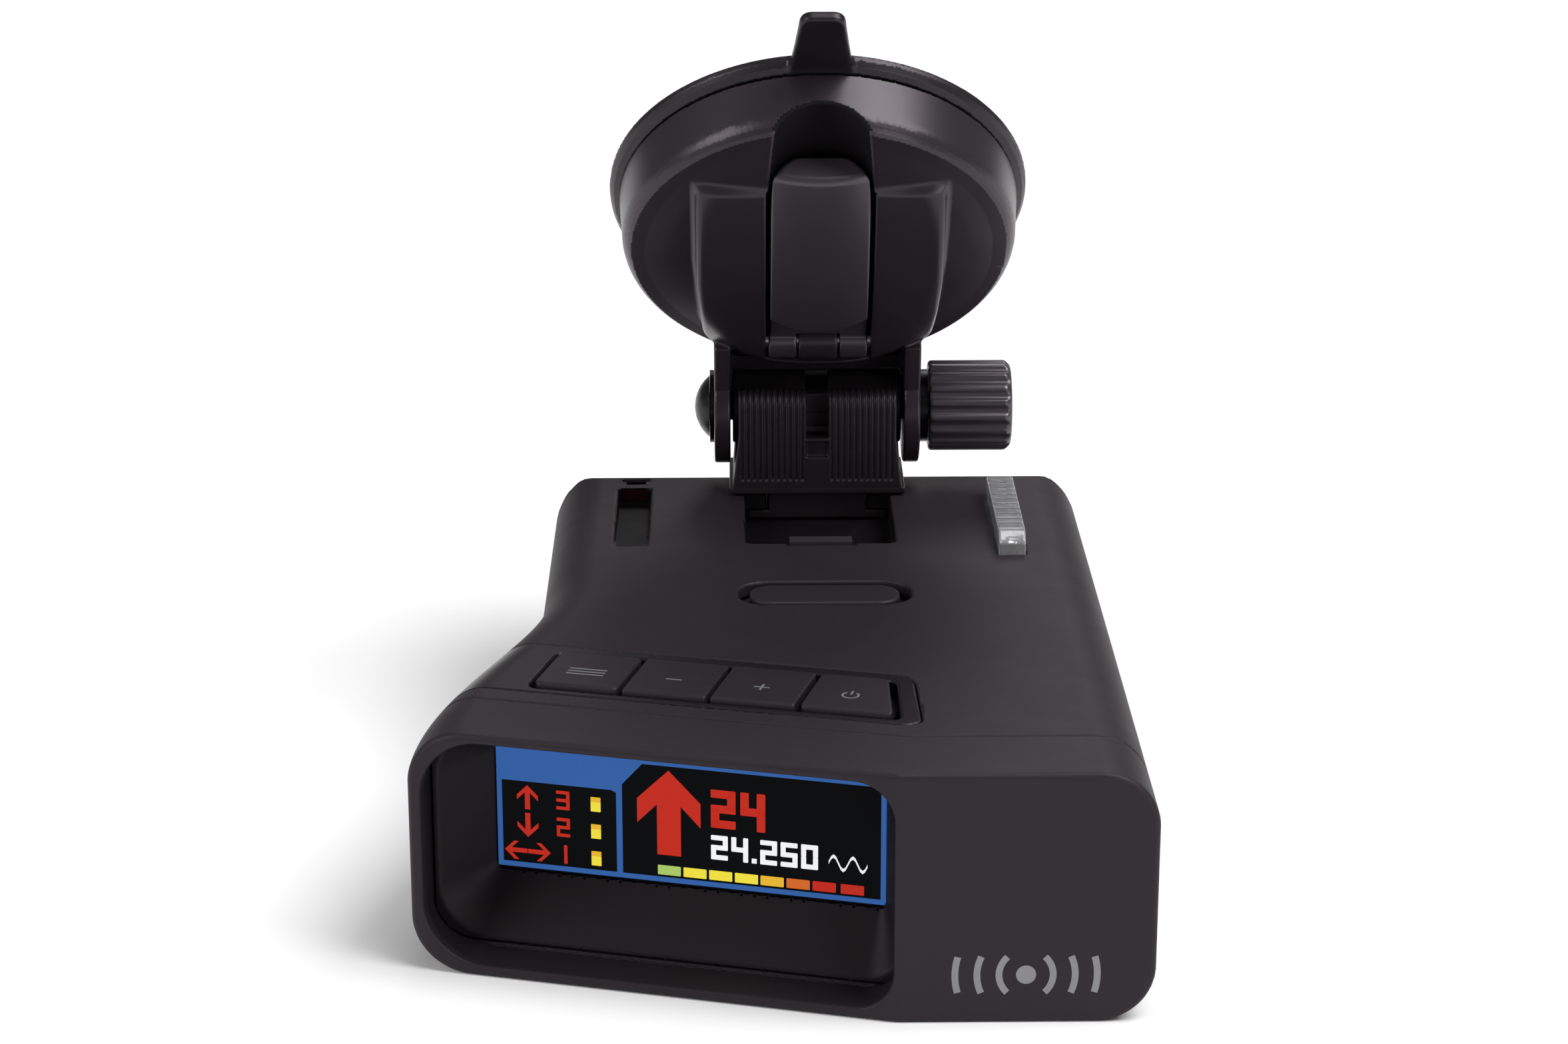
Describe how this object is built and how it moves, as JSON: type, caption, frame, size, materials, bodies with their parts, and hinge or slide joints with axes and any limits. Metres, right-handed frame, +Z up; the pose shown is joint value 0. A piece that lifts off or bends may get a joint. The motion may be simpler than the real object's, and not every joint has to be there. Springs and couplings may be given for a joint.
{
  "type": "radar detector",
  "caption": "Windscreen radar detector with a hooded angled display, top keys and a tilting lever-lock suction bracket that slides out of the case.",
  "frame": {"origin": "under the middle of the whole object's bounding box, on the plane of the case's flat underside", "axes": "+X to the right as the driver sees it, +Y from the driver to the windscreen, +Z up"},
  "size_m": [0.0888, 0.129, 0.1038],
  "materials": {
    "case": "fine textured satin",
    "surround": "satin",
    "lens": "polished smoked",
    "screen": "polished",
    "circuit_board": "solder mask",
    "trim": "polished",
    "keys": "satin",
    "plated_steel": "plated",
    "cast_metal": "as cast",
    "ceramic": "fired",
    "inner_plastic": "moulded",
    "infrared_window": "polished dark red",
    "clear_plastic": "polished clear",
    "screw_steel": "plated",
    "tab": "satin",
    "bracket": "satin",
    "gloss_black": "polished",
    "black_steel": "black oxide",
    "brass": "turned",
    "cup_rubber": "smooth"
  },
  "bodies": {
    "detector": {"bottom_cover": "case", "top_cover": "case", "front_bezel": "case", "display_surround": "surround", "display_lens": "lens", "display_module": "screen", "display_board": "circuit_board", "button_frame": "trim", "key_board": "circuit_board", "key_switches": "plated_steel", "mute_switch": "plated_steel", "main_board": "circuit_board", "rf_shield": "plated_steel", "front_horn": "cast_metal", "rear_horn": "cast_metal", "gps_antenna": "ceramic", "speaker": "inner_plastic", "front_laser_sensor": "inner_plastic", "rear_laser_sensor": "inner_plastic", "front_window": "infrared_window", "laser_window": "infrared_window", "light_prism": "clear_plastic", "power_jack": "inner_plastic", "audio_jack": "inner_plastic", "usb_port": "plated_steel", "case_screws": "screw_steel", "board_screws": "screw_steel"},
    "menu_button": {"menu_button": "keys"},
    "minus_button": {"minus_button": "keys"},
    "plus_button": {"plus_button": "keys"},
    "power_button": {"power_button": "keys"},
    "mute_button": {"mute_button": "case"},
    "release_tab": {"mount_release_tab": "tab"},
    "bracket": {"mount_bracket": "bracket"},
    "cup_arm": {"cup_housing": "gloss_black", "pivot_bolt": "black_steel", "lever_pin": "screw_steel", "pivot_washers": "black_steel"},
    "knob": {"clamp_knob": "gloss_black", "knob_insert": "brass"},
    "lever": {"lock_lever": "gloss_black"},
    "cup": {"suction_cup": "cup_rubber", "pull_stem": "screw_steel"}
  },
  "joints": [
    {"name": "menu_press", "type": "slide", "parent": "detector", "child": "menu_button", "axis": [0, -0.0252, -0.9997], "range_m": [0, 0.0007], "stiffness_N_per_m": 600, "springref_m": -0.0005},
    {"name": "minus_press", "type": "slide", "parent": "detector", "child": "minus_button", "axis": [0, -0.0252, -0.9997], "range_m": [0, 0.0007], "stiffness_N_per_m": 600, "springref_m": -0.0005},
    {"name": "plus_press", "type": "slide", "parent": "detector", "child": "plus_button", "axis": [0, -0.0252, -0.9997], "range_m": [0, 0.0007], "stiffness_N_per_m": 600, "springref_m": -0.0005},
    {"name": "power_press", "type": "slide", "parent": "detector", "child": "power_button", "axis": [0, -0.0252, -0.9997], "range_m": [0, 0.0007], "stiffness_N_per_m": 600, "springref_m": -0.0005},
    {"name": "mute_press", "type": "slide", "parent": "detector", "child": "mute_button", "axis": [0, -0.0252, -0.9997], "range_m": [0, 0.0007], "stiffness_N_per_m": 600, "springref_m": -0.0005},
    {"name": "tab_press", "type": "slide", "parent": "detector", "child": "release_tab", "axis": [0, 0, -1], "range_m": [0, 0.001], "stiffness_N_per_m": 600, "springref_m": -0.0005},
    {"name": "bracket_slide", "type": "slide", "parent": "detector", "child": "bracket", "axis": [0, 1, 0], "range_m": [0, 0.022]},
    {"name": "cup_tilt", "type": "hinge", "parent": "bracket", "child": "cup_arm", "pos_m": [0.00685, 0.05149, 0.0401], "axis": [1, 0, 0], "range_deg": [-50, 15]},
    {"name": "knob_turn", "type": "hinge", "parent": "cup_arm", "child": "knob", "pos_m": [0.00685, 0.05149, 0.0401], "axis": [1, 0, 0], "continuous": true},
    {"name": "lever_lift", "type": "hinge", "parent": "cup_arm", "child": "lever", "pos_m": [0.00685, 0.04411, 0.05222], "axis": [1, 0, 0], "range_deg": [0, 75]},
    {"name": "cup_pull", "type": "slide", "parent": "cup_arm", "child": "cup", "axis": [0, 0.7902, 0.6129], "range_m": [0, 0.0018]}
  ],
  "couplings": [
    {"joint": "cup_pull", "follows": "lever_lift", "m_per_rad": 0.001375}
  ]
}
